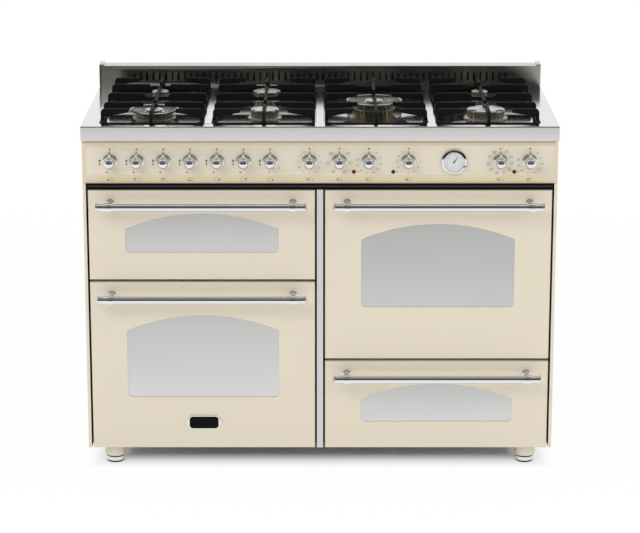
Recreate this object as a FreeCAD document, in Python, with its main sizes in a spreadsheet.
"""Range cooker, 1200 mm wide: seven gas burners, three electric ovens and a storage compartment.

Frame: millimetres, +X to the cooker's right as seen from the front, +Y to its back, +Z up.
The origin lies on the floor, in the middle of the overall box, handles included.
"""
import FreeCAD, Part
import os
from collections import namedtuple

import Sketcher

SIZES = (
    # the body as a whole
    ("hob_width", 1200, "overall width, across the hob"),
    ("hob_height", 900, "floor to the hob's surface"),
    ("hob_depth", 600, "front edge of the hob to the back of the cooker"),
    ("body_inset", 2, "edge of the hob to a side panel"),
    ("leg_height", 50, "floor to the body"),
    ("side_thickness", 8, "side panel with its folded edges"),
    ("divider_width", 16, "strip between the two columns of doors"),
    ("sheet", 2, "stainless and enamelled sheet"),
    ("liner_sheet", 1.5, "sheet of the oven liners and side panels"),
    ("rear_gap", 20, "back of the cooker to the rear panel"),
    ("frame_setback", 52, "front edge of the hob to the cross rails"),
    ("rail_thickness", 3, "plate of the cross rails"),
    ("rail_height", 35, "cross rail between an upper and a lower door"),
    ("sill_rail_height", 22, "rail along the base"),
    # hob
    ("fascia_height", 37, "front fascia of the hob"),
    ("fascia_return", 26, "fold under the fascia"),
    ("hob_edge", 3, "rounding of the hob's outer edges"),
    ("well_side", 44, "side edge of the hob to the outer wells"),
    ("well_strip", 20, "strip between two wells"),
    ("well_setback", 29, "front edge of the hob to the wells"),
    ("well_rear_gap", 12, "wells to the backsplash"),
    ("well_depth", 7, "depth of a well"),
    ("well_corner", 22, "corner radius of a well"),
    # backsplash
    ("splash_height", 55, "hob surface to the top of the backsplash"),
    ("splash_depth", 50, "front to back of the backsplash"),
    ("splash_cap_width", 12, "end cap of the backsplash"),
    ("splash_cap_rise", 4, "end cap above the backsplash"),
    ("vent_count", 60, "number of vent slots"),
    ("vent_pitch", 17.1, "spacing of the vent slots"),
    ("vent_width", 5, "width of a vent slot"),
    ("vent_height", 25, "height of a vent slot"),
    ("vent_drop", 16, "top of the backsplash to the vent slots"),
    # control panel
    ("panel_height", 111.5, "height of the control panel"),
    ("panel_face_setback", 6, "front edge of the hob to the raised face"),
    ("panel_bevel_depth", 8, "raised face to the foot of the bevels"),
    ("panel_return", 10, "foot of the bevels to the panel's back"),
    ("panel_bevel_top", 13, "height of the upper bevel"),
    ("panel_bevel_bottom", 24, "height of the lower bevel"),
    ("panel_bevel_side", 12, "width of the side bevels"),
    ("shield_gap", 1.5, "top of the doors to the heat shield"),
    ("shield_thickness", 2, "heat shield over the ovens"),
    ("tap_plate", 2, "plate that carries taps and switches"),
    ("control_drop", 91, "hob surface down to the knobs' centres"),
    ("lamp_drop", 117, "hob surface down to the lamps"),
    ("gas_knob_inset", 73, "side edge of the hob to the first gas knob"),
    ("gas_knob_gap", 98.5, "last gas knob to the timer knob"),
    ("gas_knob_count", 7, "number of gas knobs"),
    ("timer_across", -26.5, "timer knob, across"),
    ("left_selector_across", 48.5, "left oven's selector, across"),
    ("left_heat_across", 122.5, "left oven's thermostat, across"),
    ("grill_across", 222, "upper left oven's grill knob, across"),
    ("right_selector_inset", 147.5, "side edge of the hob to the right oven's selector"),
    ("right_heat_inset", 73.5, "side edge of the hob to the right oven's thermostat"),
    ("clock_across", 336.5, "clock, across"),
    ("timer_lamp_across", 85, "lamp beside the left selector, across"),
    ("heat_lamp_across", 184, "lamp beside the left thermostat, across"),
    ("right_lamp_inset", 112, "side edge of the hob to the right oven's lamp"),
    # knobs
    ("bezel_radius", 20, "ring under a knob"),
    ("bezel_thickness", 4, "thickness of that ring"),
    ("bezel_bore", 6, "hole of that ring"),
    ("knob_gap", 0.5, "ring to knob"),
    ("knob_lip", 2, "thickness of the skirt's edge"),
    ("knob_skirt", 17, "radius of a knob's skirt"),
    ("knob_waist", 9.5, "radius of a knob's waist"),
    ("knob_head", 12.5, "radius of a knob's head"),
    ("knob_reach", 40, "panel face to the front of a knob"),
    ("pointer_reach", 27, "knob centre to the pointer's tip"),
    ("pointer_width", 4, "width of the pointer"),
    ("spindle_radius", 3, "knob spindle"),
    ("spindle_depth", 12, "spindle inside the tap or switch"),
    ("spindle_room", 1, "end of a spindle to the bottom of its bore"),
    ("running_gap", 0.05, "radial clearance of a turning fit"),
    ("panel_hole", 4.5, "radius of a spindle's hole in the panel"),
    # clock and lamps
    ("clock_radius", 32, "clock bezel"),
    ("clock_can", 27, "radius of the clock's can"),
    ("clock_reach", 8, "panel face to the front of the bezel"),
    ("clock_depth", 24, "panel face to the back of the can"),
    ("clock_rim", 4, "width of the bezel's rim"),
    ("dial_thickness", 1.5, "dial plate"),
    ("hand_length", 17, "clock hand"),
    ("hand_width", 3, "clock hand's width at its boss"),
    ("hand_thickness", 0.6, "clock hand"),
    ("hand_angle", 35, "clock hand from upright, in degrees"),
    ("arbor_radius", 1.5, "arbor of the clock hand"),
    ("stem_across", 28, "setting stem, right of the clock's centre"),
    ("stem_drop", 14, "setting stem, below the clock's centre"),
    ("stem_radius", 2, "setting stem"),
    ("stem_boss", 5, "boss round the setting stem"),
    ("stem_grip", 3.5, "grip of the setting stem"),
    ("stem_reach", 14, "panel face to the end of the setting stem"),
    ("lamp_radius", 5, "lamp lens"),
    ("lamp_neck", 4, "lamp behind its lens"),
    ("lamp_reach", 3, "lens in front of the panel"),
    # doors
    ("door_setback", 12, "front edge of the hob to the doors' faces"),
    ("door_gap", 4.5, "gap beside a door"),
    ("row_gap", 6.5, "gap between an upper and a lower door"),
    ("small_door", 234, "height of a small door"),
    ("large_door", 444, "height of a large door"),
    ("door_depth", 26, "enamelled tray of a door"),
    ("door_edge", 3, "rounding of a door's front edges"),
    ("door_inner_depth", 10, "inner tray of a door"),
    ("door_inner_margin", 14, "edge of the door to the inner tray"),
    ("inner_flange", 2, "flange of the inner tray"),
    ("window_side", 92, "side edge of a door to its window"),
    ("window_corner", 11, "lower corners of a window"),
    ("window_rise", 40, "rise of a window's arch"),
    ("small_sill", 71, "bottom of a small door to its window"),
    ("small_side", 62, "straight side of a small window"),
    ("large_sill", 137.5, "bottom of a large door to its window"),
    ("large_side", 178.5, "straight side of a large window"),
    ("glass", 4, "thickness of a pane"),
    ("glass_lap", 10, "pane behind the edge of the window"),
    # hinges
    ("pivot_depth", 10, "door face to the hinge pins"),
    ("pivot_rise", 8, "door bottom to the hinge pins"),
    ("hinge_inset", 36.5, "side edge of a door to a hinge"),
    ("arm_thickness", 5, "hinge arm"),
    ("arm_radius", 6, "half the height of a hinge arm"),
    ("pin_radius", 3, "hinge pin"),
    ("lug_thickness", 5, "hinge lug on the door"),
    ("lug_rise", 3, "door bottom to the lugs"),
    ("block_rise", 20, "door bottom to the raised part of the inner tray"),
    ("hinge_gap", 0.5, "hinge arm to lug"),
    ("notch_gap", 1.5, "hinge arm to the notch in the door"),
    # handles
    ("handle_inset", 19.5, "side edge of a door to the end of its bar"),
    ("handle_drop", 34, "door top to the bar"),
    ("handle_offset", 50, "door face to the bar"),
    ("bar_radius", 10, "handle bar"),
    ("collar_radius", 13, "collar round the bar at a post"),
    ("collar_length", 25, "length of a collar"),
    ("post_inset", 56, "side edge of a door to a post"),
    ("post_radius", 6, "handle post"),
    ("rosette_radius", 11, "rosette on the door"),
    ("rosette_thickness", 4, "rosette on the door"),
    ("bar_flange_radius", 12.5, "flange at the bar's end"),
    ("bar_flange_length", 3, "length of that flange"),
    ("bar_tip_length", 4, "cone beyond the flange"),
    ("bar_tip_radius", 7, "end of that cone"),
    # feet
    ("foot_inset", 67, "side edge of the hob to a foot"),
    ("foot_setback", 60, "front edge of the hob to a front foot"),
    ("foot_rear_gap", 60, "rear panel to a rear foot"),
    ("sleeve_radius", 27, "enamelled sleeve of a foot"),
    ("sleeve_seam", 18, "floor to the seam of sleeve and pad"),
    ("pad_radius", 22.5, "adjustable pad"),
    ("pad_edge", 2, "chamfer of the pad"),
    ("stud_radius", 7, "stud of a foot in the base"),
    ("foot_gap", 1, "sleeve of a foot to the base"),
    # ovens
    ("cavity_side", 56, "side of a column of doors to the inside of its ovens"),
    ("cavity_rear_gap", 96.5, "back wall of an oven to the rear panel"),
    ("cavity_floor", 75, "bottom of a large door to the oven floor"),
    ("cavity_roof", 30, "top of a large door down to the oven roof"),
    ("small_cavity_floor", 44, "bottom of a small door to its floor"),
    ("small_cavity_roof", 34, "top of a small door down to its roof"),
    ("insulation", 20, "mineral wool"),
    ("insulation_setback", 56, "front edge of the hob to the wool"),
    ("ledge_width", 12, "rack ledge"),
    ("ledge_thickness", 3, "rack ledge"),
    ("ledge_pitch", 70, "spacing of the rack ledges"),
    ("first_ledge", 55, "oven floor to the first ledge"),
    ("rack_gap", 3, "rack to the oven's side wall"),
    ("rack_frame_radius", 3, "frame wire of a rack"),
    ("rack_wire_radius", 1.5, "cross wires of a rack"),
    ("rack_wire_count", 14, "number of wires in a rack"),
    ("rack_lift", 0.3, "ledge to the wires of a rack"),
    ("rack_end_gap", 12, "rack to the oven's mouth and to its back"),
    ("element_radius", 3.5, "heating element"),
    ("element_side", 65, "side wall of an oven to the outer element loop"),
    ("element_inset", 70, "outer to inner element loop"),
    ("element_drop", 18, "oven roof to the elements"),
    ("element_bend", 30, "bend of an element"),
    ("element_end", 60, "oven mouth to the elements"),
    ("fan_radius", 62, "convection fan"),
    ("fan_width", 18, "depth of the fan's blades"),
    ("fan_gap", 10, "fan to the oven's back wall"),
    ("fan_blades", 10, "number of fan blades"),
    ("fan_shaft", 4, "radius of the fan's shaft"),
    ("fan_hub", 12, "radius of the fan's hub"),
    ("motor_radius", 32, "fan motor"),
    ("motor_length", 38, "fan motor"),
    # gas
    ("rail_pipe_radius", 9, "gas rail"),
    ("tap_width", 24, "tap body"),
    ("tap_height", 30, "tap body"),
    ("tap_length", 26, "tap body"),
    ("switch_size", 36, "oven switch body"),
    ("switch_length", 24, "oven switch body"),
    ("tube_radius", 3, "tube to a burner"),
    ("feed_inset", 28, "side edge of the hob to the feed pipe"),
    ("inlet_radius", 10.48, "gas inlet thread, half inch"),
    ("gland_bore", 6.5, "bore of the mains cable gland"),
    ("gland_radius", 12, "mains cable gland"),
    ("gland_length", 16, "mains cable gland"),
    ("gland_inset", 120, "side edge of the hob to the cable gland"),
    ("gland_height", 700, "floor to the cable gland"),
    # burners
    ("front_burner", 157, "front edge of the hob to a front burner"),
    ("rear_burner", 405, "front edge of the hob to a rear burner"),
    ("wok_burner", 281, "front edge of the hob to the wok burner"),
    ("cap_rise", 15, "hob surface to the top of a burner cap"),
    ("cap_thickness", 5, "burner cap"),
    ("crown_gap", 1.5, "flame crown inside the edge of its cap"),
    ("base_lap", 9, "burner base outside its cap"),
    ("base_thickness", 3, "burner base on the well"),
    ("stem_hole_radius", 13, "burner's mixing tube"),
    ("stem_length", 24, "mixing tube below the well"),
    ("stem_clearance", 0.3, "mixing tube to its hole"),
    ("spigot_radius", 10, "locating spigot of a cap"),
    ("spigot_length", 3, "locating spigot of a cap"),
    ("small_cap", 22, "radius of an auxiliary burner's cap"),
    ("medium_cap", 36.5, "radius of a semi-rapid burner's cap"),
    ("large_cap", 49, "radius of a rapid burner's cap"),
    ("dish_cap", 62.5, "radius of the triple ring burner's dish"),
    ("wok_cap", 72, "radius of the wok burner's dish"),
    ("inner_cap", 23, "radius of the small cap inside a dish"),
    ("dish_rise", 8, "rim of a dish above its foot"),
    ("dish_foot", 48, "radius of a dish's foot"),
    # pan supports
    ("support_gap", 2.5, "pan support to the edge of its well"),
    ("support_bar", 8, "width of a casting bar"),
    ("support_base", 10, "height of the casting's base frame"),
    ("support_top", 32, "hob surface to the top of the bars"),
    ("finger_depth", 20, "height of a bar at its leg"),
    ("tip_depth", 10, "height of a finger at its tip"),
    ("support_corner", 10, "rounded shoulder of a finger"),
    ("end_bar_inset", 38, "end of the casting to its first bar"),
    ("middle_bar", 281, "front edge of the hob to the middle bar"),
    ("end_bar_gap", 60, "centre to the ends of the first and last bars"),
    ("finger_gap", 27, "burner centre to the finger tips"),
    ("wok_finger_gap", 45, "wok burner centre to the finger tips"),
    ("middle_dip", 10, "lowered centre of the middle bar"),
)

doc = FreeCAD.newDocument("RangeCooker")


class Dim:
    """A number that remembers the sheet expression it comes from."""

    def __init__(self, value, text):
        self.value = float(value)
        self.text = text

    def __add__(self, other):
        other = num(other)
        return Dim(self.value + other.value, f"({self.text} + {other.text})")

    def __sub__(self, other):
        other = num(other)
        return Dim(self.value - other.value, f"({self.text} - {other.text})")

    def __mul__(self, other):
        other = num(other)
        return Dim(self.value * other.value, f"({self.text} * {other.text})")

    def __truediv__(self, other):
        other = num(other)
        return Dim(self.value / other.value, f"({self.text} / {other.text})")

    def __radd__(self, other):
        return num(other) + self

    def __rsub__(self, other):
        return num(other) - self

    def __rmul__(self, other):
        return num(other) * self

    def __neg__(self):
        return Dim(-self.value, f"(-1 * {self.text})")


def num(value):
    """The Dim of a plain number; a Dim stays as it is."""
    return value if isinstance(value, Dim) else Dim(value, repr(float(value)))


def make_sheet():
    """Write the driving sizes to the sheet: a note, a plain number and its alias in each row."""
    sheet = doc.addObject("Spreadsheet::Sheet", "Sizes")
    for row, (alias, number, note) in enumerate(SIZES, 1):
        sheet.set(f"A{row}", note)
        sheet.set(f"B{row}", str(number))
        sheet.setAlias(f"B{row}", alias)
    doc.recompute()
    return sheet


make_sheet()
S = namedtuple("Sheet", [alias for alias, _, _ in SIZES])(
    *[Dim(number, f"Sizes.{alias}") for alias, number, _ in SIZES]
)

# ---------------------------------------------------------------- drawing helpers

PLANES = {"XY": ("XY_Plane", 1), "XZ": ("XZ_Plane", -1), "YZ": ("YZ_Plane", 1)}
TURNS = {
    "X": FreeCAD.Rotation(FreeCAD.Vector(0, 1, 0), 90),
    "Y": FreeCAD.Rotation(FreeCAD.Vector(1, 0, 0), -90),
    "Z": FreeCAD.Rotation(),
}
NODES = []
CUTS = []


def node(shape, label):
    """Give a finished sub-part its own Label and list it for export."""
    shape.Label = label
    NODES.append(shape)
    return shape


def place(shape, at, turn="Z"):
    """Turn an object so that its Z lies along an axis, and bind its base point to the sheet."""
    shape.Placement = FreeCAD.Placement(FreeCAD.Vector(), TURNS[turn])
    for axis, dim in zip("xyz", at):
        shape.setExpression(f".Placement.Base.{axis}", num(dim).text)
    return shape


def box(name, low, high):
    """A box between two corners."""
    shape = doc.addObject("Part::Box", name)
    for size, a, b in zip(("Length", "Width", "Height"), low, high):
        shape.setExpression(size, (num(b) - num(a)).text)
    return place(shape, low)


def cylinder(name, base, radius, length, axis="Z"):
    """A cylinder from its base point along an axis."""
    shape = doc.addObject("Part::Cylinder", name)
    shape.setExpression("Radius", num(radius).text)
    shape.setExpression("Height", num(length).text)
    return place(shape, base, axis)


def fuse(name, shapes):
    """One solid of several that touch or overlap."""
    if len(shapes) == 1:
        return shapes[0]
    whole = doc.addObject("Part::MultiFuse", name)
    whole.Shapes = shapes
    whole.Refine = True
    return whole


def group(name, shapes):
    """Several separate solids as one object."""
    whole = doc.addObject("Part::Compound", name)
    whole.Links = shapes
    return whole


def cut(name, base, tools):
    """A solid with others taken away from it."""
    whole = doc.addObject("Part::Cut", name)
    whole.Base = base
    whole.Tool = tools[0] if len(tools) == 1 else group(f"{name}_tools", tools)
    whole.Refine = True
    CUTS.append((whole, base))
    return whole


def vertex(point):
    """A sketch corner as a vector."""
    return FreeCAD.Vector(num(point[0]).value, num(point[1]).value, 0)


def arc_centre(start, end, radius):
    """Centre of the short arc from start to end that turns left."""
    chord = end - start
    middle = (start + end) / 2
    left = FreeCAD.Vector(-chord.y, chord.x, 0).normalize()
    rise = max(radius**2 - (chord.Length / 2) ** 2, 0) ** 0.5
    return middle + left * rise


def point_rules(geometry, end, point):
    """Constraints that tie a sketch point to its two distances from the origin."""
    rules = []
    for axis, dim in zip("XY", point):
        dim = num(dim)
        rule = Sketcher.Constraint(f"Distance{axis}", -1, 1, geometry, end, dim.value)
        rules.append((rule, dim))
    return rules


def add_rules(sketch, rules):
    """Add constraints at once; each that has a Dim is bound to it."""
    sketch.addConstraint([rule for rule, _ in rules])
    for index, (_, dim) in enumerate(rules):
        if dim is not None:
            sketch.setExpression(f".Constraints[{index}]", dim.text)


def circle_rules(sketch, across, up, radius):
    """Draw a circle and return its constraints."""
    radius = num(radius)
    circle = Part.Circle(vertex((across, up)), FreeCAD.Vector(0, 0, 1), radius.value)
    index = sketch.addGeometry(circle)
    size = Sketcher.Constraint("Radius", index, radius.value)
    return [*point_rules(index, 3, (across, up)), (size, radius)]


def arc_rule(index, here, after, radius):
    """The constraint that sizes an arc: its radius, or for a half circle its centre's place."""
    chord = vertex(after) - vertex(here)
    if abs(chord.Length - 2 * radius.value) > 1e-6:
        return Sketcher.Constraint("Radius", index, radius.value), radius
    axis, place = ("Y", here[1]) if abs(chord.x) > abs(chord.y) else ("X", here[0])
    place = num(place)
    return Sketcher.Constraint(f"Distance{axis}", -1, 1, index, 3, place.value), place


def edge_rules(sketch, here, after):
    """Draw the line or arc from one step to the next: its index, its two ends, its constraint."""
    start, end = vertex(here), vertex(after)
    if len(here) == 2:
        return sketch.addGeometry(Part.LineSegment(start, end)), 1, 2, []
    turns_left = num(here[2]).value > 0
    radius = num(here[2]) if turns_left else -num(here[2])
    first, last = (start, end) if turns_left else (end, start)
    circle = Part.Circle(
        arc_centre(first, last, radius.value), FreeCAD.Vector(0, 0, 1), radius.value
    )
    arc = Part.ArcOfCircle(circle, circle.parameter(first), circle.parameter(last))
    index = sketch.addGeometry(arc)
    rules = [arc_rule(index, here, after, radius)]
    return (index, 1, 2, rules) if turns_left else (index, 2, 1, rules)


def loop_rules(sketch, steps):
    """Draw a closed outline and return its constraints. A step is its start point, and a
    radius where an arc leaves it: positive where the arc turns left, negative to the right."""
    edges = [edge_rules(sketch, a, b) for a, b in zip(steps, steps[1:] + steps[:1])]
    rules = []
    for number, step in enumerate(steps):
        geometry, start, _, sizes = edges[number]
        before, _, end, _ = edges[number - 1]
        rules.append((Sketcher.Constraint("Coincident", before, end, geometry, start), None))
        rules += point_rules(geometry, start, step[:2]) + sizes
    return rules


def path_rules(sketch, steps):
    """Draw an open path and return its constraints."""
    rules = []
    before = None
    for here, after in zip(steps, steps[1:]):
        index, start, end, sizes = edge_rules(sketch, here, after)
        rules += point_rules(index, start, here[:2]) + sizes
        if before is not None:
            joint = Sketcher.Constraint("Coincident", before[0], before[1], index, start)
            rules.append((joint, None))
        before = (index, end)
    return rules + point_rules(*before, steps[-1][:2])


def rectangle(low, high):
    """Outline of a rectangle between two corners."""
    return [low, (high[0], low[1]), high, (low[0], high[1])]


def rounded(low, high, radius):
    """Outline of a rectangle with round corners."""
    (left, bottom), (right, top) = low, high
    return [
        (left + radius, bottom),
        (right - radius, bottom, radius),
        (right, bottom + radius),
        (right, top - radius, radius),
        (right - radius, top),
        (left + radius, top, radius),
        (left, top - radius),
        (left, bottom + radius, radius),
    ]


class Piece:
    """A PartDesign body. Its features run between two levels along the sketch plane's axis."""

    def __init__(self, name, at=(0, 0, 0)):
        self.name = name
        self.body = place(doc.addObject("PartDesign::Body", name), at)

    def sketch(self, plane, loops, level=0):
        """Draw loops on one of the body's own planes, moved to a level along its axis."""
        role, sense = PLANES[plane]
        sketch = self.body.newObject("Sketcher::SketchObject", f"{self.name}_sketch")
        face = next(f for f in self.body.Origin.OriginFeatures if f.Role == role)
        sketch.AttachmentSupport = (face, [""])
        sketch.MapMode = "FlatFace"
        sketch.setExpression(".AttachmentOffset.Base.z", (num(level) * sense).text)
        rules = []
        for loop in loops:
            if loop[0] == "circle":
                rules += circle_rules(sketch, *loop[1:])
            else:
                rules += loop_rules(sketch, loop)
        add_rules(sketch, rules)
        return sketch

    def extrude(self, kind, plane, loops, low, high):
        """A Pad or a Pocket of the loops, from a low to a high level."""
        base = self.body.Tip
        profile = self.sketch(plane, loops, low)
        feature = self.body.newObject(f"PartDesign::{kind}", f"{self.name}_{kind.lower()}")
        feature.Profile = profile
        feature.setExpression("Length", (num(high) - num(low)).text)
        upward = PLANES[plane][1] > 0
        feature.Reversed = upward if kind == "Pocket" else not upward
        if kind == "Pocket":
            CUTS.append((feature, base))
        return feature

    def pad(self, plane, loops, low, high):
        """Add the loops between two levels."""
        return self.extrude("Pad", plane, loops, low, high)

    def pocket(self, plane, loops, low, high):
        """Take the loops away between two levels."""
        return self.extrude("Pocket", plane, loops, low, high)

    def spin(self, loop, plane="XY", axis="V_Axis"):
        """Turn an outline once round one of its sketch's axes."""
        profile = self.sketch(plane, [loop])
        feature = self.body.newObject("PartDesign::Revolution", f"{self.name}_revolution")
        feature.Profile = profile
        feature.ReferenceAxis = (profile, [axis])
        feature.Angle = 360
        return feature

    def repeat(self, features, count, extent):
        """Copies of features along X, the last one at the extent."""
        pattern = self.body.newObject("PartDesign::LinearPattern", f"{self.name}_pattern")
        pattern.Originals = features
        pattern.Direction = (features[0].Profile[0], ["H_Axis"])
        pattern.setExpression("Length", extent.text)
        pattern.setExpression("Occurrences", count.text)
        self.body.Tip = pattern
        return pattern

    def around(self, features, count, axis="V_Axis"):
        """Copies of features round an axis of their sketch."""
        pattern = self.body.newObject("PartDesign::PolarPattern", f"{self.name}_pattern")
        pattern.Originals = features
        pattern.Axis = (features[0].Profile[0], [axis])
        pattern.Angle = 360
        pattern.setExpression("Occurrences", count.text)
        self.body.Tip = pattern
        return pattern

    def fillet(self, radius, wanted):
        """Round the tip's edges for which wanted(edge) is true."""
        doc.recompute()
        base = self.body.Tip
        names = [
            f"Edge{number}" for number, edge in enumerate(base.Shape.Edges, 1) if wanted(edge)
        ]
        feature = self.body.newObject("PartDesign::Fillet", f"{self.name}_fillet")
        feature.Base = (base, names)
        feature.setExpression("Radius", radius.text)
        return feature


def lies_at(edge, axis, value, tolerance=1e-4):
    """Whether all of an edge lies at one coordinate."""
    bounds = edge.BoundBox
    low, high = getattr(bounds, f"{axis}Min"), getattr(bounds, f"{axis}Max")
    return abs(low - value) < tolerance and abs(high - value) < tolerance


# ---------------------------------------------------------------- shared places

HANDLE_REACH = S.handle_offset + S.collar_radius - S.door_setback
FRONT = (HANDLE_REACH - S.hob_depth) / 2


def depth(setback):
    """Y of a place given by its distance behind the hob's front edge."""
    return FRONT + setback


BACK = depth(S.hob_depth)
HOB_HALF = S.hob_width / 2
BODY_HALF = HOB_HALF - S.body_inset
SIDE_INNER = BODY_HALF - S.side_thickness
DIVIDER_HALF = S.divider_width / 2
COLUMN_X = (SIDE_INNER + DIVIDER_HALF) / 2
COLUMN_WIDTH = SIDE_INNER - DIVIDER_HALF
DOOR_WIDTH = COLUMN_WIDTH - 2 * S.door_gap
DOOR_HALF = DOOR_WIDTH / 2
WINDOW_HALF = DOOR_HALF - S.window_side
HINGE_X = DOOR_HALF - S.hinge_inset
POST_X = DOOR_HALF - S.post_inset
DOOR_Y = depth(S.door_setback)
FRAME_Y = depth(S.frame_setback)
REAR_PANEL_Y = BACK - S.rear_gap
CAVITY_HALF = COLUMN_WIDTH / 2 - S.cavity_side
CAVITY_BACK = REAR_PANEL_Y - S.cavity_rear_gap
ELEMENT_X = CAVITY_HALF - S.element_side
FOOT_X = HOB_HALF - S.foot_inset
FEED_X = HOB_HALF - S.feed_inset
GLAND_X = HOB_HALF - S.gland_inset
PANEL_TOP = S.hob_height - S.fascia_height
PANEL_BOTTOM = PANEL_TOP - S.panel_height
DOOR_TOP = S.leg_height + S.small_door + S.row_gap + S.large_door
SHIELD_Z = DOOR_TOP + S.shield_gap
PANEL_FACE_Y = depth(S.panel_face_setback)
PANEL_FOOT_Y = PANEL_FACE_Y + S.panel_bevel_depth
PANEL_BACK_Y = PANEL_FOOT_Y + S.panel_return
TAP_Y = PANEL_BACK_Y + S.tap_plate
CONTROL_Z = S.hob_height - S.control_drop
LAMP_Z = S.hob_height - S.lamp_drop
WELL_FLOOR = S.hob_height - S.well_depth
GAS_FIRST = S.gas_knob_inset - HOB_HALF
GAS_SPAN = S.timer_across - S.gas_knob_gap - GAS_FIRST
GAS_PITCH = GAS_SPAN / (S.gas_knob_count - 1)
GAS_KNOBS = [GAS_FIRST + GAS_PITCH * i for i in range(int(S.gas_knob_count.value))]
OVEN_KNOBS = [
    S.timer_across,
    S.left_selector_across,
    S.left_heat_across,
    S.grill_across,
    HOB_HALF - S.right_selector_inset,
    HOB_HALF - S.right_heat_inset,
]
KNOBS = GAS_KNOBS + OVEN_KNOBS
LAMPS = [S.timer_lamp_across, S.heat_lamp_across, HOB_HALF - S.right_lamp_inset]
WELL_COUNT = 4
WELL_STRIPS = S.well_strip * (WELL_COUNT - 1)
WELL_WIDTH = (S.hob_width - 2 * S.well_side - WELL_STRIPS) / WELL_COUNT
WELL_PITCH = WELL_WIDTH + S.well_strip
WELL_FRONT = depth(S.well_setback)
WELL_BACK = BACK - S.splash_depth - S.well_rear_gap
WELLS = [WELL_PITCH * (i - (WELL_COUNT - 1) / 2) for i in range(WELL_COUNT)]

Door = namedtuple("Door", "name side bottom height sill window floor roof")


def make_doors():
    """The four compartments: side, door, window and cavity."""
    small = (S.small_door, S.small_sill, S.small_side, S.small_cavity_floor, S.small_cavity_roof)
    large = (S.large_door, S.large_sill, S.large_side, S.cavity_floor, S.cavity_roof)
    plan = (
        ("upper_left", -1, S.leg_height + S.large_door + S.row_gap, small),
        ("lower_left", -1, S.leg_height, large),
        ("upper_right", 1, S.leg_height + S.small_door + S.row_gap, large),
        ("lower_right", 1, S.leg_height, small),
    )
    return [
        Door(name, side, bottom, height, sill, window, bottom + floor, bottom + height - roof)
        for name, side, bottom, (height, sill, window, floor, roof) in plan
    ]


DOORS = make_doors()
OVENS = [door for door in DOORS if door.name != "lower_right"]

Burner = namedtuple("Burner", "well setback cap dish")
BURNERS = [
    Burner(0, S.front_burner, S.dish_cap, True),
    Burner(0, S.rear_burner, S.small_cap, False),
    Burner(1, S.front_burner, S.medium_cap, False),
    Burner(1, S.rear_burner, S.medium_cap, False),
    Burner(2, S.wok_burner, S.wok_cap, True),
    Burner(3, S.front_burner, S.large_cap, False),
    Burner(3, S.rear_burner, S.small_cap, False),
]


# ---------------------------------------------------------------- body


def make_chassis():
    """Base, rear panel, middle wall, cross rails, heat shield and the plate behind the knobs."""
    floor_top = S.leg_height + S.sheet
    rail_back = FRAME_Y + S.rail_thickness
    base = box("base", (-SIDE_INNER, FRAME_Y, S.leg_height), (SIDE_INNER, REAR_PANEL_Y, floor_top))
    sill = box(
        "sill_rail",
        (-SIDE_INNER, FRAME_Y, floor_top),
        (SIDE_INNER, rail_back, floor_top + S.sill_rail_height),
    )
    sill = cut(
        "sill_rail_cut",
        sill,
        [
            box(
                "sill_gap",
                (-DIVIDER_HALF, FRAME_Y, floor_top),
                (DIVIDER_HALF, rail_back, floor_top + S.sill_rail_height),
            )
        ],
    )
    solids = [base, sill]
    for side, lower in ((-1, DOORS[1]), (1, DOORS[3])):
        low_x, high_x = (DIVIDER_HALF, SIDE_INNER) if side > 0 else (-SIDE_INNER, -DIVIDER_HALF)
        top = lower.bottom + lower.height + S.row_gap / 2 + S.rail_height / 2
        rail = box(
            "cross_rail", (low_x, FRAME_Y, top - S.rail_height), (high_x, rail_back, top)
        )
        web_x = DIVIDER_HALF * side
        inner_x = web_x - S.liner_sheet * side
        near, far = (inner_x, web_x) if side > 0 else (web_x, inner_x)
        web = box(
            "middle_wall", (near, DOOR_Y + S.sheet, floor_top), (far, REAR_PANEL_Y, SHIELD_Z)
        )
        solids += [rail, web]
    solids.append(
        box(
            "divider_strip",
            (-DIVIDER_HALF, DOOR_Y, S.leg_height),
            (DIVIDER_HALF, DOOR_Y + S.sheet, SHIELD_Z),
        )
    )
    shield_top = SHIELD_Z + S.shield_thickness
    solids.append(
        box("heat_shield", (-SIDE_INNER, DOOR_Y, SHIELD_Z), (SIDE_INNER, REAR_PANEL_Y, shield_top))
    )
    solids.append(
        box(
            "top_rail",
            (-SIDE_INNER, DOOR_Y, shield_top),
            (SIDE_INNER, DOOR_Y + S.rail_thickness, PANEL_BOTTOM),
        )
    )
    holes = [
        cylinder("spindle_hole", (x, PANEL_BACK_Y, CONTROL_Z), S.panel_hole, S.tap_plate, "Y")
        for x in KNOBS
    ]
    holes.append(
        cylinder(
            "clock_hole",
            (S.clock_across, PANEL_BACK_Y, CONTROL_Z),
            S.clock_can + S.stem_clearance,
            S.tap_plate,
            "Y",
        )
    )
    plate = box(
        "tap_plate", (-SIDE_INNER, PANEL_BACK_Y, shield_top), (SIDE_INNER, TAP_Y, PANEL_TOP)
    )
    solids.append(cut("tap_plate_cut", plate, holes))
    rear = box(
        "rear_panel",
        (-SIDE_INNER, REAR_PANEL_Y, S.leg_height),
        (SIDE_INNER, REAR_PANEL_Y + S.sheet, PANEL_TOP),
    )
    rear_holes = [
        cylinder(
            "inlet_hole",
            (-FEED_X, REAR_PANEL_Y, CONTROL_Z),
            S.rail_pipe_radius + S.stem_clearance,
            S.sheet,
            "Y",
        ),
        cylinder(
            "gland_hole",
            (GLAND_X, REAR_PANEL_Y, S.gland_height),
            S.gland_radius,
            S.sheet,
            "Y",
        ),
    ]
    solids.append(cut("rear_panel_cut", rear, rear_holes))
    node(group("chassis", solids), "chassis")


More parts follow.
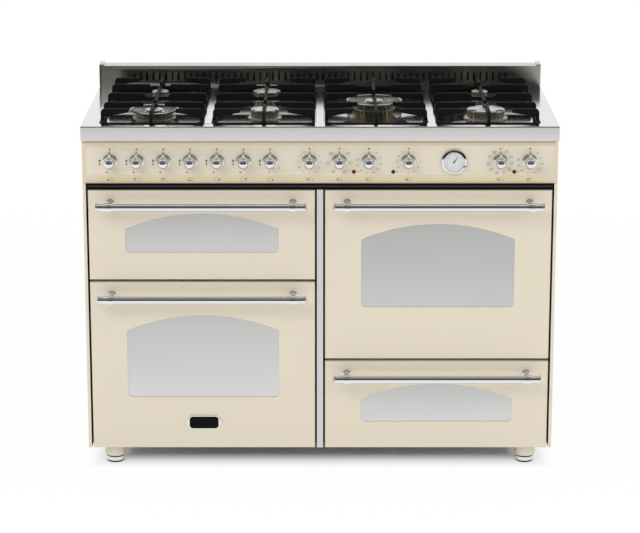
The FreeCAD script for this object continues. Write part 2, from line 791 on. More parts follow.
def side_outline(margin):
    """Outline of a side panel in depth and height, drawn in by a margin."""
    top = S.hob_height - S.sheet - margin
    front = DOOR_Y + margin
    shoulder = TAP_Y + margin
    back = BACK - S.rear_gap / 2 - margin
    bottom = S.leg_height + margin
    step = PANEL_BOTTOM - margin
    return [
        (front, bottom),
        (back, bottom),
        (back, top),
        (shoulder, top),
        (shoulder, step),
        (front, step),
    ]


def make_side_panels():
    """Two enamelled sides, each a sheet with folded edges that point inwards."""
    sides = []
    for side in (-1, 1):
        outer, inner = (-BODY_HALF, -SIDE_INNER) if side < 0 else (SIDE_INNER, BODY_HALF)
        panel = Piece("side_left" if side < 0 else "side_right")
        panel.pad("YZ", [side_outline(num(0))], outer, inner)
        if side < 0:
            panel.pocket("YZ", [side_outline(S.liner_sheet)], outer + S.liner_sheet, inner)
        else:
            panel.pocket("YZ", [side_outline(S.liner_sheet)], outer, inner - S.liner_sheet)
        sides.append(panel.body)
    node(group("side_panels", sides), "side_panels")


def make_hob_top():
    """Stainless hob: fascia and skirts, four pressed wells and the burner holes."""
    half = HOB_HALF
    lower = WELL_FLOOR - S.sheet

    def well_loops(lap):
        """The four wells' outlines, each larger by a lap."""
        reach = WELL_WIDTH / 2 + lap
        low, high = WELL_FRONT - lap, WELL_BACK + lap
        return [
            rounded((x - reach, low), (x + reach, high), S.well_corner + lap)
            for x in WELLS
        ]

    hob = Piece("hob_top")
    hob.pad("XY", [rectangle((-half, FRONT), (half, BACK))], PANEL_TOP, S.hob_height)
    hob.fillet(
        S.hob_edge,
        lambda edge: lies_at(edge, "Z", S.hob_height.value)
        or abs(edge.BoundBox.ZLength - S.fascia_height.value) < 1e-4,
    )
    side, rear = half - S.sheet, BACK - S.sheet
    inside = rectangle((-side, depth(S.fascia_return)), (side, rear))
    hob.pocket("XY", [inside], PANEL_TOP, S.hob_height - S.sheet)
    fold = rectangle((-side, depth(S.sheet)), (side, depth(S.fascia_return)))
    hob.pocket("XY", [fold], PANEL_TOP + S.sheet, S.hob_height - S.sheet)
    hob.pad("XY", well_loops(S.sheet), lower, S.hob_height - S.sheet / 2)
    hob.pocket("XY", well_loops(num(0)), WELL_FLOOR, S.hob_height)
    holes = [
        ("circle", WELLS[b.well], depth(b.setback), S.stem_hole_radius + S.stem_clearance)
        for b in BURNERS
    ]
    hob.pocket("XY", holes, lower, WELL_FLOOR)
    node(hob.body, "hob_top")


def make_backsplash():
    """Folded stainless upstand with a row of vent slots, and its two end caps."""
    half = HOB_HALF
    inner = half - S.splash_cap_width
    front = BACK - S.splash_depth
    top = S.hob_height + S.splash_height
    upstand = Piece("upstand")
    upstand.pad("XY", [rectangle((-inner, front), (inner, BACK))], S.hob_height, top)
    hollow = rectangle((-inner + S.sheet, front + S.sheet), (inner - S.sheet, BACK - S.sheet))
    upstand.pocket("XY", [hollow], S.hob_height, top - S.sheet)
    extent = S.vent_pitch * (S.vent_count - 1)
    left = -(extent + S.vent_width) / 2
    low = top - S.vent_drop - S.vent_height
    radius = S.vent_width / 2
    right = left + S.vent_width
    slot = [
        (left, low + radius, radius),
        (right, low + radius),
        (right, low + S.vent_height - radius, radius),
        (left, low + S.vent_height - radius),
    ]
    first = upstand.pocket("XZ", [slot], front, front + S.sheet)
    upstand.repeat([first], S.vent_count, extent)
    solids = [upstand.body]
    for side in (-1, 1):
        near, far = (inner, half) if side > 0 else (-half, -inner)
        cap = Piece("end_cap")
        cap.pad("YZ", [cap_outline(front, top)], near, far)
        solids.append(cap.body)
    node(group("backsplash", solids), "backsplash")


def cap_outline(front, top):
    """Side of a backsplash end cap, with a round upper front corner."""
    radius = S.splash_cap_rise
    high = top + S.splash_cap_rise
    return [
        (front, S.hob_height),
        (BACK, S.hob_height),
        (BACK, high),
        (front + radius, high, radius),
        (front, high - radius),
    ]


def wedge(name, front, back, low, high, bevels):
    """A raised block: a small front face and a larger foot behind it."""
    side, bottom, top = bevels
    shape = doc.addObject("Part::Wedge", name)
    for prop, dim in (
        ("Ymin", front),
        ("Ymax", back),
        ("Xmin", low[0] + side),
        ("Xmax", high[0] - side),
        ("Zmin", low[1] + bottom),
        ("Zmax", high[1] - top),
        ("X2min", low[0]),
        ("X2max", high[0]),
        ("Z2min", low[1]),
        ("Z2max", high[1]),
    ):
        shape.setExpression(prop, num(dim).text)
    return shape


def make_control_panel():
    """Enamelled panel with bevelled edges and the holes for spindles, clock and lamps."""
    low, high = (-BODY_HALF, PANEL_BOTTOM), (BODY_HALF, PANEL_TOP)
    bevels = (S.panel_bevel_side, S.panel_bevel_bottom, S.panel_bevel_top)
    outer = fuse(
        "panel_outer",
        [
            wedge("panel_raised", PANEL_FACE_Y, PANEL_FOOT_Y, low, high, bevels),
            box(
                "panel_skirt",
                (low[0], PANEL_FOOT_Y, low[1]),
                (high[0], PANEL_BACK_Y, high[1]),
            ),
        ],
    )
    in_low = (low[0] + S.sheet, low[1] + S.sheet)
    in_high = (high[0] - S.sheet, high[1] - S.sheet)
    foot = PANEL_FOOT_Y + S.sheet
    hollow = fuse(
        "panel_hollow",
        [
            wedge("panel_inner", PANEL_FACE_Y + S.sheet, foot, in_low, in_high, bevels),
            box("panel_open", (in_low[0], foot, in_low[1]), (in_high[0], PANEL_BACK_Y, in_high[1])),
        ],
    )
    shell = cut("panel_shell", outer, [hollow])
    holes = [
        cylinder("panel_spindle_hole", (x, PANEL_FACE_Y, CONTROL_Z), S.panel_hole, S.sheet, "Y")
        for x in KNOBS
    ]
    holes.append(
        cylinder(
            "panel_clock_hole",
            (S.clock_across, PANEL_FACE_Y, CONTROL_Z),
            S.clock_can + S.stem_clearance,
            S.sheet,
            "Y",
        )
    )
    holes += [
        cylinder("panel_lamp_hole", (x, PANEL_FACE_Y, LAMP_Z), S.lamp_neck, S.sheet, "Y")
        for x in LAMPS
    ]
    node(cut("control_panel", shell, holes), "control_panel")


def make_feet():
    """Four feet: an enamelled sleeve over an adjustable pad."""
    solids = []
    top = S.leg_height - S.foot_gap
    seam = S.sleeve_seam
    for x in (-FOOT_X, FOOT_X):
        for y in (depth(S.foot_setback), REAR_PANEL_Y - S.foot_rear_gap):
            sleeve = Piece("foot_sleeve", (x, y, 0))
            sleeve.spin(
                [
                    (0, seam),
                    (S.sleeve_radius - S.pad_edge, seam),
                    (S.sleeve_radius, seam + S.pad_edge),
                    (S.sleeve_radius, top),
                    (S.stud_radius, top),
                    (S.stud_radius, S.leg_height),
                    (0, S.leg_height),
                ],
                "XZ",
            )
            pad = Piece("foot_pad", (x, y, 0))
            pad.spin(
                [
                    (0, 0),
                    (S.pad_radius - S.pad_edge, 0),
                    (S.pad_radius, S.pad_edge),
                    (S.pad_radius, seam),
                    (0, seam),
                ],
                "XZ",
            )
            solids += [sleeve.body, pad.body]
    node(group("feet", solids), "feet")


# ---------------------------------------------------------------- ovens


def cavity(door):
    """Low and high corners of a compartment's inside."""
    centre = COLUMN_X * door.side
    front = FRAME_Y + S.liner_sheet
    return (centre - CAVITY_HALF, front, door.floor), (centre + CAVITY_HALF, CAVITY_BACK, door.roof)


def grown(low, high, by):
    """A box's corners moved outwards on every side but the front."""
    return (low[0] - by, low[1], low[2] - by), (high[0] + by, high[1] + by, high[2] + by)


def ledges(door, count):
    """Rack ledges on both side walls."""
    low, high = cavity(door)
    shapes = []
    for number in range(count):
        top = low[2] + S.first_ledge + S.ledge_pitch * number
        for wall, inner in ((low[0], low[0] + S.ledge_width), (high[0] - S.ledge_width, high[0])):
            shapes.append(
                box("ledge", (wall, low[1], top - S.ledge_thickness), (inner, high[1], top))
            )
    return shapes


def flange_span(door):
    """Lower and upper edge of a liner's front flange, between the rails."""
    floor_top = S.leg_height + S.sheet + S.sill_rail_height
    lower = DOORS[1] if door.side < 0 else DOORS[3]
    middle = lower.bottom + lower.height + S.row_gap / 2
    if door in (DOORS[1], DOORS[3]):
        return floor_top, middle - S.rail_height / 2
    return middle + S.rail_height / 2, SHIELD_Z


def make_liner(door, ledge_count):
    """A box open at the front, with a flange that closes the front frame, and rack ledges."""
    low, high = cavity(door)
    outer_low, outer_high = grown(low, high, S.liner_sheet)
    centre = COLUMN_X * door.side
    bottom, top = flange_span(door)
    flange = box(
        "flange",
        (centre - COLUMN_WIDTH / 2, FRAME_Y, bottom),
        (centre + COLUMN_WIDTH / 2, low[1], top),
    )
    shell = box("shell", outer_low, outer_high)
    whole = fuse("liner_block", [flange, shell])
    inside = box("inside", (low[0], FRAME_Y, low[2]), high)
    tools = [inside]
    if door.name == "upper_right":
        x, z = centre, (low[2] + high[2]) / 2
        shaft_hole = S.fan_shaft + S.running_gap
        tools.append(cylinder("shaft_hole", (x, high[1], z), shaft_hole, S.liner_sheet, "Y"))
    return fuse("liner", [cut("liner_cut", whole, tools)] + ledges(door, ledge_count))


def make_liners():
    """Three oven liners in one node, and the storage compartment's liner in its own."""
    counts = {"upper_left": 1, "lower_left": 3, "upper_right": 3}
    node(group("oven_liners", [make_liner(d, counts[d.name]) for d in OVENS]), "oven_liners")
    node(make_liner(DOORS[3], 0), "storage_liner")


def make_insulation():
    """Mineral wool round each oven, open at the front."""
    sleeves = []
    for door in OVENS:
        low, high = grown(*cavity(door), S.liner_sheet)
        out_low, out_high = grown(low, high, S.insulation)
        front = depth(S.insulation_setback)
        block = box("wool", (out_low[0], front, out_low[2]), out_high)
        tools = [box("wool_inside", (low[0], front, low[2]), high)]
        if door.name == "upper_right":
            z = (low[2] + high[2]) / 2
            radius = S.motor_radius + S.stem_clearance
            tools.append(
                cylinder("motor_hole", (COLUMN_X, high[1], z), radius, S.insulation, "Y")
            )
        sleeves.append(cut("sleeve", block, tools))
    node(group("oven_insulation", sleeves), "oven_insulation")


def element_loop(door, spread):
    """One tube from the oven's back wall, round to the front and back again."""
    low, high = cavity(door)
    centre = COLUMN_X * door.side
    front, back = low[1] + S.element_end + (ELEMENT_X - spread), high[1]
    bend = S.element_bend
    path = doc.addObject("Sketcher::SketchObject", "element_path")
    steps = [
        (centre - spread, back),
        (centre - spread, front + bend, bend),
        (centre - spread + bend, front),
        (centre + spread - bend, front, bend),
        (centre + spread, front + bend),
        (centre + spread, back),
    ]
    add_rules(path, path_rules(path, steps))
    height = high[2] - S.element_drop
    path.setExpression(".Placement.Base.z", height.text)
    ring = doc.addObject("Part::Circle", "element_section")
    ring.setExpression("Radius", S.element_radius.text)
    place(ring, (centre - spread, back, height), "Y")
    tube = doc.addObject("Part::Sweep", "element")
    tube.Sections = [ring]
    tube.Spine = (path, [f"Edge{number}" for number in range(1, len(steps))])
    tube.Solid = True
    tube.Frenet = False
    return tube


def make_elements():
    """An outer and an inner loop under the roof of each oven."""
    loops = []
    for door in OVENS:
        loops.append(element_loop(door, ELEMENT_X))
        loops.append(element_loop(door, ELEMENT_X - S.element_inset))
    node(group("heating_elements", loops), "heating_elements")


def make_rack(door):
    """Wire shelf that rests on the lowest pair of ledges."""
    low, high = cavity(door)
    rest = low[2] + S.first_ledge + S.rack_lift + S.rack_frame_radius
    left = low[0] + S.rack_gap + S.rack_frame_radius
    right = high[0] - S.rack_gap - S.rack_frame_radius
    front, back = low[1] + S.rack_end_gap, high[1] - S.rack_end_gap
    width, length = right - left, back - front
    wires = []
    for x in (left, right):
        wires.append(cylinder("side_wire", (x, front, rest), S.rack_frame_radius, length, "Y"))
    for y in (front, back):
        start = (left - S.rack_frame_radius / 2, y, rest)
        wires.append(
            cylinder("end_wire", start, S.rack_frame_radius, width + S.rack_frame_radius, "X")
        )
    pitch = width / (S.rack_wire_count + 1)
    for number in range(1, int(S.rack_wire_count.value) + 1):
        start = (left + pitch * number, front, rest + S.rack_frame_radius / 2)
        wires.append(cylinder("wire", start, S.rack_wire_radius, length, "Y"))
    node(fuse(f"rack_{door.name}", wires), f"rack_{door.name}")


def make_fan():
    """Convection fan on its shaft, in front of the main oven's back wall."""
    door = DOORS[2]
    low, high = cavity(door)
    centre = (COLUMN_X * door.side, high[1], (low[2] + high[2]) / 2)
    fan = Piece("oven_fan", centre)
    near = -S.fan_gap
    far = near - S.fan_width
    hub = S.fan_hub
    disc = near - S.sheet / 2
    fan.spin(
        [
            (0, far),
            (hub, far),
            (hub, disc),
            (S.fan_radius, disc),
            (S.fan_radius, near),
            (S.fan_shaft, near),
            (S.fan_shaft, S.liner_sheet + S.spindle_depth),
            (0, S.liner_sheet + S.spindle_depth),
        ]
    )
    blade = fan.pad(
        "XY",
        [rectangle((hub + S.fan_shaft, far), (S.fan_radius, disc))],
        -S.sheet / 2,
        S.sheet / 2,
    )
    fan.around([blade], S.fan_blades)
    node(fan.body, "oven_fan")


# ---------------------------------------------------------------- doors


def window_outline(door, lap):
    """Arched window, drawn larger by a lap; x from the door's centre, z from its bottom."""
    half = WINDOW_HALF + lap
    low = door.sill - lap
    shoulder = door.sill + door.window
    rise = S.window_rise + lap
    corner = S.window_corner + lap
    arch = (half * half + rise * rise) / (2 * rise)
    return [
        (-half + corner, low),
        (half - corner, low, corner),
        (half, low + corner),
        (half, shoulder, arch),
        (-half, shoulder),
        (-half, low + corner, corner),
    ]


def notches(low, high):
    """Outlines of the two hinge notches across the door."""
    reach = S.arm_thickness / 2 + S.notch_gap
    return [
        rectangle((x - reach, low), (x + reach, high)) for x in (-HINGE_X, HINGE_X)
    ]


def make_door_panel(door, at):
    """Enamelled front: a tray with an arched window and two hinge notches in its lower rim."""
    half = DOOR_HALF
    panel = Piece(f"door_{door.name}_panel", at)
    panel.pad("XZ", [rectangle((-half, 0), (half, door.height))], 0, S.door_depth)
    panel.fillet(S.door_edge, lambda edge: lies_at(edge, "Y", 0))
    inside = rectangle((-half + S.sheet, S.sheet), (half - S.sheet, door.height - S.sheet))
    panel.pocket("XZ", [inside], S.sheet, S.door_depth)
    panel.pocket("XZ", [window_outline(door, num(0))], 0, S.sheet)
    front = S.pivot_depth - S.arm_radius - S.notch_gap
    panel.pocket("XY", notches(front, S.door_depth), 0, S.sheet)
    node(panel.body, f"door_{door.name}_panel")


def make_door_glass(door, at):
    """Outer pane behind the enamelled front, inner pane in the inner tray."""
    half = WINDOW_HALF + S.glass_lap
    bottom = door.sill - S.glass_lap
    top = door.sill + door.window + S.window_rise + S.glass_lap
    back = S.door_depth + S.door_inner_depth - S.sheet
    panes = []
    for near in (S.sheet, back - S.glass):
        pane = Piece("pane", at)
        outline = rounded((-half, bottom), (half, top), S.window_corner)
        pane.pad("XZ", [outline], near, near + S.glass)
        panes.append(pane.body)
    node(group(f"door_{door.name}_glass", panes), f"door_{door.name}_glass")


def make_door_inner(door, at):
    """Inner tray with its window, and the hinge lugs with their pins."""
    half = DOOR_HALF - S.sheet / 2
    block = DOOR_HALF - S.door_inner_margin
    front, back = S.door_depth, S.door_depth + S.door_inner_depth
    low = S.block_rise
    high = door.height - S.door_inner_margin
    inner = Piece(f"door_{door.name}_inner", at)
    edge = S.sheet / 2
    flange = rectangle((-half, edge), (half, door.height - edge))
    inner.pad("XZ", [flange], front, front + S.inner_flange)
    inner.pad("XZ", [rectangle((-block, low), (block, high))], front, back)
    hollow = rectangle((-block + S.sheet, low + S.sheet), (block - S.sheet, high - S.sheet))
    inner.pocket("XZ", [hollow], front, back - S.sheet)
    inner.pocket("XZ", [window_outline(door, num(0))], back - S.sheet, back)
    notch_top = S.pivot_rise + S.arm_radius + S.notch_gap
    inner.pocket("XZ", notches(num(0), notch_top), front, front + S.inner_flange)
    lug_front = S.pivot_depth - S.arm_radius
    for x in (-HINGE_X, HINGE_X):
        gap = S.arm_thickness / 2 + S.hinge_gap
        reach = gap + S.lug_thickness
        for near, far in ((x - reach, x - gap), (x + gap, x + reach)):
            outline = rectangle((lug_front, S.lug_rise), (front, low))
            inner.pad("YZ", [outline], near, far)
        pin = [("circle", S.pivot_depth, S.pivot_rise, S.pin_radius)]
        inner.pad("YZ", pin, x - reach, x + reach)
    node(inner.body, f"door_{door.name}_inner")


def make_handle(door, at):
    """Chrome bar with collars and end flanges, on two posts with rosettes."""
    half = DOOR_HALF - S.handle_inset
    axis = (at[0], at[1] - S.handle_offset, at[2] + door.height - S.handle_drop)
    flange = half - S.bar_tip_length
    neck = flange - S.bar_flange_length
    bow = S.collar_length / 2
    swell = S.collar_radius - S.bar_radius
    arc = (bow * bow + swell * swell) / (2 * swell)
    left, right = -POST_X, POST_X
    bar = Piece("handle_bar", axis)
    bar.spin(
        [
            (-half, 0),
            (half, 0),
            (half, S.bar_tip_radius),
            (flange, S.bar_flange_radius),
            (neck, S.bar_flange_radius),
            (neck, S.bar_radius),
            (right + bow, S.bar_radius, arc),
            (right - bow, S.bar_radius),
            (left + bow, S.bar_radius, arc),
            (left - bow, S.bar_radius),
            (-neck, S.bar_radius),
            (-neck, S.bar_flange_radius),
            (-flange, S.bar_flange_radius),
            (-half, S.bar_tip_radius),
        ],
        "XY",
        "H_Axis",
    )
    solids = [bar.body]
    for x in (left, right):
        base = (axis[0] + x, axis[1], axis[2])
        solids.append(cylinder("handle_post", base, S.post_radius, S.handle_offset, "Y"))
        rosette = (base[0], at[1] - S.rosette_thickness, base[2])
        solids.append(
            cylinder("rosette", rosette, S.rosette_radius, S.rosette_thickness, "Y")
        )
    node(fuse(f"door_{door.name}_handle", solids), f"door_{door.name}_handle")


def make_doors_and_handles():
    """All four doors, piece by piece."""
    for door in DOORS:
        at = (COLUMN_X * door.side, DOOR_Y, door.bottom)
        make_door_panel(door, at)
        make_door_glass(door, at)
        make_door_inner(door, at)
        make_handle(door, at)


def make_hinge_brackets():
    """Hinge arms from the cross rails to the doors' pins."""
    arms = []
    for door in DOORS:
        for x in (-HINGE_X, HINGE_X):
            centre = COLUMN_X * door.side + x
            at = (centre, DOOR_Y + S.pivot_depth, door.bottom + S.pivot_rise)
            arm = Piece("hinge_arm", at)
            radius = S.arm_radius
            end = FRAME_Y - at[1]
            outline = [
                (num(0), -radius),
                (end, -radius),
                (end, radius),
                (num(0), radius, radius),
                (-radius, num(0), radius),
            ]
            half = S.arm_thickness / 2
            arm.pad("YZ", [outline], -half, half)
            bore = [("circle", 0, 0, S.pin_radius + S.running_gap)]
            arm.pocket("YZ", bore, -half, half)
            arms.append(arm.body)
    node(group("hinge_brackets", arms), "hinge_brackets")


# ---------------------------------------------------------------- controls


def make_knob(number, x):
    """Chrome knob with a flared skirt, a waist, a round head, a pointer and its spindle."""
    knob = Piece(f"knob_{number:02}", (x, PANEL_FACE_Y, CONTROL_Z))
    back = -(S.bezel_thickness + S.knob_gap)
    lip = back - S.knob_lip
    tip = -S.knob_reach
    head = tip + S.knob_head
    waist = (lip + head) / 2
    spindle_end = TAP_Y + S.spindle_depth - PANEL_FACE_Y
    knob.spin(
        [
            (0, tip, S.knob_head),
            (S.knob_head, head),
            (S.knob_waist, waist),
            (S.knob_skirt, lip),
            (S.knob_skirt, back),
            (S.spindle_radius, back),
            (S.spindle_radius, spindle_end),
            (0, spindle_end),
        ]
    )
    outline = [
        (back, num(0)),
        (back, S.pointer_reach),
        (lip, S.pointer_reach),
        (head, S.knob_head),
        (tip + S.knob_head / 2, num(0)),
    ]
    knob.pad("YZ", [outline], -S.pointer_width / 2, S.pointer_width / 2)
    node(knob.body, f"knob_{number:02}")


def make_knobs_and_bezels():
    """The thirteen knobs, and the rings under them."""
    rings = []
    for number, x in enumerate(KNOBS, 1):
        make_knob(number, x)
        ring = Piece("bezel", (x, PANEL_FACE_Y, CONTROL_Z))
        slope = S.bezel_thickness / 2
        ring.spin(
            [
                (S.bezel_bore, -S.bezel_thickness),
                (S.bezel_radius - slope, -S.bezel_thickness),
                (S.bezel_radius, -slope),
                (S.bezel_radius, 0),
                (S.bezel_bore, 0),
            ]
        )
        rings.append(ring.body)
    node(group("knob_bezels", rings), "knob_bezels")


def make_lamps():
    """Three lamps: a domed lens in front of the panel and a body in its hole."""
    lamps = []
    for x in LAMPS:
        lamp = Piece("lamp", (x, PANEL_FACE_Y, LAMP_Z))
        back = PANEL_BACK_Y - PANEL_FACE_Y
        reach, radius = S.lamp_reach, S.lamp_radius
        dome = (radius * radius + reach * reach) / (2 * reach)
        lamp.spin(
            [
                (0, -reach, dome),
                (radius, 0),
                (S.lamp_neck, 0),
                (S.lamp_neck, back),
                (0, back),
            ]
        )
        lamps.append(lamp.body)
    node(group("indicator_lamps", lamps), "indicator_lamps")


def make_clock():
    """Clock case with its bezel and the boss of the setting stem, dial, hand and stem."""
    at = (S.clock_across, PANEL_FACE_Y, CONTROL_Z)
    rim = S.clock_radius - S.clock_rim
    dial_front = -S.clock_reach / 2
    dial_back = dial_front + S.dial_thickness
    case = Piece("case", at)
    case.spin(
        [
            (0, dial_back),
            (rim, dial_back),
            (rim, -S.clock_reach),
            (S.clock_radius - S.clock_rim / 2, -S.clock_reach),
            (S.clock_radius, -S.clock_reach / 2),
            (S.clock_radius, 0),
            (S.clock_can, 0),
            (S.clock_can, S.clock_depth),
            (0, S.clock_depth),
        ]
    )
    stem_hole = S.stem_radius + S.running_gap
    boss = [("circle", S.stem_across, -S.stem_drop, S.stem_boss)]
    case.pad("XZ", boss, -S.clock_reach, 0)
    hole = [("circle", S.stem_across, -S.stem_drop, stem_hole)]
    case.pocket("XZ", hole, -S.clock_reach, 0)
    bore = [("circle", 0, 0, S.arbor_radius + S.running_gap)]
    case.pocket("XZ", bore, dial_back, S.spindle_depth)
    dial = Piece("dial", at)
    dial.pad("XZ", [("circle", 0, 0, rim)], dial_front, dial_back)
    dial.pocket("XZ", bore, dial_front, dial_back)
    dial.pocket("XZ", boss, dial_front, dial_back)
    node(group("clock_case", [case.body, dial.body]), "clock_case")

    hand = Piece("clock_hand", at)
    hand.body.Placement.Rotation = FreeCAD.Rotation(FreeCAD.Vector(0, 1, 0), S.hand_angle.value)
    hand.body.setExpression(".Placement.Rotation.Angle", S.hand_angle.text)
    near = dial_front - S.hand_thickness
    hand.pad(
        "XZ",
        [
            [
                (-S.hand_width / 2, -S.hand_width),
                (S.hand_width / 2, -S.hand_width),
                (S.hand_thickness / 2, S.hand_length),
                (-S.hand_thickness / 2, S.hand_length),
            ]
        ],
        near - S.hand_thickness,
        near,
    )
    arbor = [("circle", 0, 0, S.arbor_radius)]
    hand.pad("XZ", arbor, near - S.hand_thickness * 2, S.spindle_depth - S.knob_gap)
    node(hand.body, "clock_hand")

    stem = Piece("clock_set_knob", (at[0] + S.stem_across, at[1], at[2] - S.stem_drop))
    head = -(S.clock_reach + S.knob_gap)
    stem.spin(
        [
            (0, -S.stem_reach),
            (S.stem_grip, -S.stem_reach),
            (S.stem_grip, head),
            (S.stem_radius, head),
            (S.stem_radius, 0),
            (0, 0),
        ]
    )
    node(stem.body, "clock_set_knob")


# ---------------------------------------------------------------- gas and electrics


def spindle_bore(x):
    """The bore that a knob's spindle turns in."""
    radius = S.spindle_radius + S.running_gap
    depth_in = S.spindle_depth + S.spindle_room
    return cylinder("spindle_bore", (x, TAP_Y, CONTROL_Z), radius, depth_in, "Y")


def make_gas_train():
    """Gas rail with its taps, the tubes to the burners, and the feed from the rear inlet."""
    pipe_y = TAP_Y + S.tap_length + S.rail_pipe_radius / 2
    last = GAS_KNOBS[-1]
    solids = [
        cylinder(
            "rail_pipe",
            (-FEED_X, pipe_y, CONTROL_Z),
            S.rail_pipe_radius,
            last + S.tap_width / 2 + FEED_X,
            "X",
        ),
        cylinder(
            "feed_pipe",
            (-FEED_X, pipe_y, CONTROL_Z),
            S.rail_pipe_radius,
            REAR_PANEL_Y + S.sheet - pipe_y,
            "Y",
        ),
        cylinder(
            "inlet",
            (-FEED_X, REAR_PANEL_Y + S.sheet, CONTROL_Z),
            S.inlet_radius,
            S.rear_gap - S.sheet,
            "Y",
        ),
    ]
    half = S.tap_width / 2
    for x in GAS_KNOBS:
        low = (x - half, TAP_Y, CONTROL_Z - S.tap_height / 2)
        high = (x + half, TAP_Y + S.tap_length, CONTROL_Z + S.tap_height / 2)
        solids.append(box("tap", low, high))
    outlet_z = CONTROL_Z + S.tap_height / 2 - S.tube_radius
    burner_z = WELL_FLOOR - S.sheet - S.stem_length / 2
    for x, burner in zip(GAS_KNOBS, BURNERS):
        start = (x, TAP_Y + S.tap_length - S.tube_radius, outlet_z)
        end = (WELLS[burner.well], depth(burner.setback), burner_z)
        solids.append(tube("burner_tube", start, end))
    bores = [spindle_bore(x) for x in GAS_KNOBS]
    stems = [
        cylinder(
            "stem_room",
            (WELLS[b.well], depth(b.setback), PANEL_TOP - S.fascia_height),
            S.stem_hole_radius + S.stem_clearance,
            S.fascia_height * 2,
        )
        for b in BURNERS
    ]
    node(cut("gas_train", fuse("gas_solids", solids), bores + stems), "gas_train")


def tube(name, start, end):
    """A straight tube between two points."""
    a = FreeCAD.Vector(*[num(v).value for v in start])
    b = FreeCAD.Vector(*[num(v).value for v in end])
    shape = doc.addObject("Part::Feature", name)
    shape.Shape = Part.makeCylinder(S.tube_radius.value, (b - a).Length, a, b - a)
    return shape


def make_electrical_parts():
    """Switch bodies behind the oven knobs, the fan motor and the mains cable gland."""
    half = S.switch_size / 2
    solids = []
    for x in OVEN_KNOBS:
        low = (x - half, TAP_Y, CONTROL_Z - half)
        high = (x + half, TAP_Y + S.switch_length, CONTROL_Z + half)
        solids.append(cut("switch", box("switch_block", low, high), [spindle_bore(x)]))
    low, high = grown(*cavity(DOORS[2]), S.liner_sheet)
    base = (COLUMN_X, high[1], (low[2] + high[2]) / 2)
    motor = cylinder("motor_can", base, S.motor_radius, S.motor_length, "Y")
    depth_in = S.spindle_depth + S.spindle_room
    bore = cylinder("motor_bore", base, S.fan_shaft + S.running_gap, depth_in, "Y")
    solids.append(cut("motor", motor, [bore]))
    gland_at = (GLAND_X, REAR_PANEL_Y, S.gland_height)
    gland = cylinder("gland_body", gland_at, S.gland_radius, S.gland_length, "Y")
    hole = cylinder("gland_bore", gland_at, S.gland_bore, S.gland_length, "Y")
    solids.append(cut("gland", gland, [hole]))
    node(group("electrical_parts", solids), "electrical_parts")


# ---------------------------------------------------------------- burners and pan supports


def crown(burner):
    """Radius of the flame crown under a burner's cap."""
    return (S.dish_foot if burner.dish else burner.cap) - S.crown_gap


def make_burner_bodies():
    """Burner bases with their flame crowns and mixing tubes."""
    bodies = []
    seat = S.hob_height + S.cap_rise - S.cap_thickness
    for burner in BURNERS:
        at = (WELLS[burner.well], depth(burner.setback), 0)
        top = seat - S.dish_rise / 2 if burner.dish else seat
        base = crown(burner) + S.base_lap
        bore = S.spigot_radius + S.stem_clearance
        body = Piece("burner_body", at)
        body.spin(
            [
                (0, WELL_FLOOR - S.sheet - S.stem_length),
                (S.stem_hole_radius, WELL_FLOOR - S.sheet - S.stem_length),
                (S.stem_hole_radius, WELL_FLOOR),
                (base, WELL_FLOOR),
                (base, WELL_FLOOR + S.base_thickness / 2),
                (crown(burner), WELL_FLOOR + S.base_thickness),
                (crown(burner), top),
                (bore, top),
                (bore, top - S.spigot_length - S.stem_clearance),
                (0, top - S.spigot_length - S.stem_clearance),
            ],
            "XZ",
        )
        bodies.append(body.body)
    node(group("burner_bodies", bodies), "burner_bodies")


def make_caps():
    """Lift-off caps, one node for each well; the two large burners have a dish and a small cap."""
    seat = S.hob_height + S.cap_rise - S.cap_thickness
    for well in range(len(WELLS)):
        caps = []
        for burner in BURNERS:
            if burner.well != well:
                continue
            at = (WELLS[well], depth(burner.setback), 0)
            cap = Piece("cap", at)
            if burner.dish:
                low = seat - S.dish_rise / 2
                cap.spin(
                    [
                        (0, low - S.spigot_length),
                        (S.spigot_radius, low - S.spigot_length),
                        (S.spigot_radius, low),
                        (S.dish_foot, low),
                        (burner.cap, low + S.dish_rise - S.sheet / 2),
                        (burner.cap, low + S.dish_rise),
                        (S.dish_foot - S.sheet, low + S.sheet),
                        (S.inner_cap - S.sheet, low + S.sheet),
                        (S.inner_cap - S.sheet, low + S.dish_rise - S.sheet),
                        (S.inner_cap, low + S.dish_rise - S.sheet),
                        (S.inner_cap, low + S.dish_rise),
                        (0, low + S.dish_rise),
                    ],
                    "XZ",
                )
            else:
                edge = S.cap_thickness / 2
                cap.spin(
                    [
                        (0, seat - S.spigot_length),
                        (S.spigot_radius, seat - S.spigot_length),
                        (S.spigot_radius, seat),
                        (burner.cap, seat),
                        (burner.cap, seat + edge),
                        (burner.cap - edge, seat + S.cap_thickness),
                        (0, seat + S.cap_thickness),
                    ],
                    "XZ",
                )
            caps.append(cap.body)
        name = f"burner_caps_{well + 1}"
        node(group(name, caps) if len(caps) > 1 else caps[0], name)


def finger(outer, tip, side, foot, top):
    """Outline of a finger: a leg at its outer end, a round shoulder and an arm that tapers."""
    leg = S.support_bar * side
    corner = S.support_corner
    steps = [
        (outer, foot),
        (outer, top - corner),
        (outer + corner * side, top),
        (tip, top),
        (tip, top - S.tip_depth),
        (outer + leg, top - S.finger_depth),
        (outer + leg, foot),
    ]
    steps[1] = steps[1] + (-corner if side > 0 else corner,)
    return steps


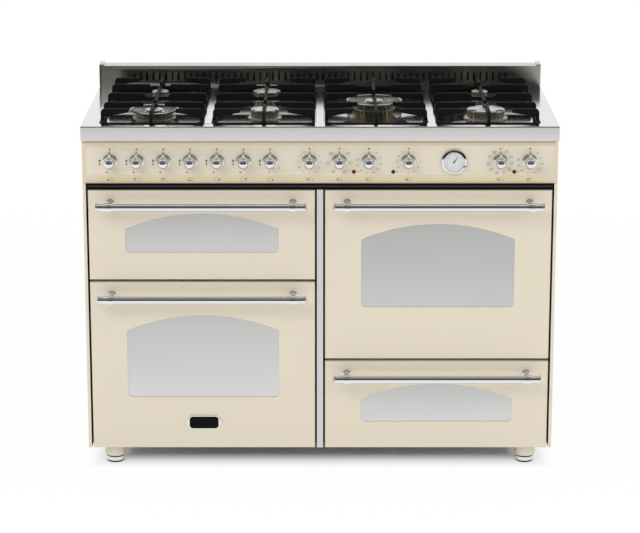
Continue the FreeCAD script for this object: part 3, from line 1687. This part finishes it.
def make_pan_support(well):
    """Cast iron grid: a base frame, five cross bars and fingers towards the burners."""
    x = WELLS[well]
    half = WELL_WIDTH / 2 - S.support_gap
    front = WELL_FRONT + S.support_gap
    back = WELL_BACK - S.support_gap
    foot = WELL_FLOOR + S.support_base
    top = S.hob_height + S.support_top
    bar = S.support_bar
    corner = S.well_corner - S.support_gap
    casting = Piece(f"pan_support_{well + 1}", (x, 0, 0))
    casting.pad(
        "XY",
        [
            rounded((-half, front), (half, back), corner),
            rounded((-half + bar, front + bar), (half - bar, back - bar), corner - bar),
        ],
        WELL_FLOOR,
        foot,
    )
    wok = well == 2
    burners = [b for b in BURNERS if b.well == well]
    bars = [
        (front + S.end_bar_inset, S.end_bar_gap),
        (depth(S.front_burner), S.finger_gap if not wok else S.wok_finger_gap),
        (depth(S.middle_bar), S.wok_finger_gap if wok else None),
        (depth(S.rear_burner), S.finger_gap if not wok else S.wok_finger_gap),
        (back - S.end_bar_inset, S.end_bar_gap),
    ]
    for y, gap in bars:
        if gap is None:
            casting.pad("XZ", [middle_outline(half, foot, top)], y - bar / 2, y + bar / 2)
            continue
        for side in (-1, 1):
            outline = finger(half * -side, gap * -side, side, foot, top)
            casting.pad("XZ", [outline], y - bar / 2, y + bar / 2)
    tips = [depth(b.setback) for b in burners]
    gap = S.wok_finger_gap if wok else S.finger_gap
    for outline in (
        finger(front, tips[0] - gap, 1, foot, top),
        finger(back, tips[-1] + gap, -1, foot, top),
    ):
        casting.pad("YZ", [outline], -bar / 2, bar / 2)
    if not wok:
        inner = spine_outline(tips[0] + gap, tips[1] - gap, depth(S.middle_bar), top)
        casting.pad("YZ", [inner], -bar / 2, bar / 2)
    node(casting.body, f"pan_support_{well + 1}")


def spine_outline(front, back, middle, top):
    """Outline of the bar between two burners, which dips where it crosses the middle bar."""
    near, far = middle - S.support_bar / 2, middle + S.support_bar / 2
    under, low = top - S.finger_depth, top - S.middle_dip
    return [
        (front, top - S.tip_depth),
        (near, under),
        (far, under),
        (back, top - S.tip_depth),
        (back, top),
        (far, low),
        (near, low),
        (front, top),
    ]


def middle_outline(half, foot, top):
    """Outline of the middle bar: two legs, round shoulders and a lowered centre."""
    bar, corner, dip = S.support_bar, S.support_corner, S.middle_dip
    under = top - S.finger_depth
    low = top - dip
    return [
        (-half, foot),
        (-half + bar, foot),
        (-half + bar, under),
        (half - bar, under),
        (half - bar, foot),
        (half, foot),
        (half, top - corner, corner),
        (half - corner, top),
        (S.finger_gap + dip, top),
        (S.finger_gap, low),
        (-S.finger_gap, low),
        (-S.finger_gap - dip, top),
        (-half + corner, top, corner),
        (-half, top - corner),
    ]


# ---------------------------------------------------------------- build and export


def check_and_export():
    """Stop on any failed object or sub-part, then write one STEP file for each node."""
    doc.recompute()
    for shape in doc.Objects:
        if {"Invalid", "Error"} & set(shape.State):
            raise RuntimeError(f"{shape.Name} ({shape.Label}) failed: {shape.State}")
    for feature, base in CUTS:
        if feature.Shape.Volume >= base.Shape.Volume - 1e-6:
            raise RuntimeError(f"{feature.Name} cuts nothing")
    for shape in NODES:
        if shape.Shape.isNull() or not shape.Shape.isValid() or not shape.Shape.Solids:
            raise RuntimeError(f"{shape.Label} has no valid solid")
    os.makedirs("parts", exist_ok=True)
    for shape in NODES:
        shape.Shape.exportStep(os.path.join("parts", f"{shape.Label}.step"))
    print(f"{len(NODES)} nodes written")


make_chassis()
make_side_panels()
make_hob_top()
make_backsplash()
make_control_panel()
make_feet()
make_liners()
make_insulation()
make_elements()
for oven in OVENS:
    make_rack(oven)
make_fan()
make_doors_and_handles()
make_hinge_brackets()
make_knobs_and_bezels()
make_lamps()
make_clock()
make_gas_train()
make_electrical_parts()
make_burner_bodies()
make_caps()
for number in range(len(WELLS)):
    make_pan_support(number)
check_and_export()
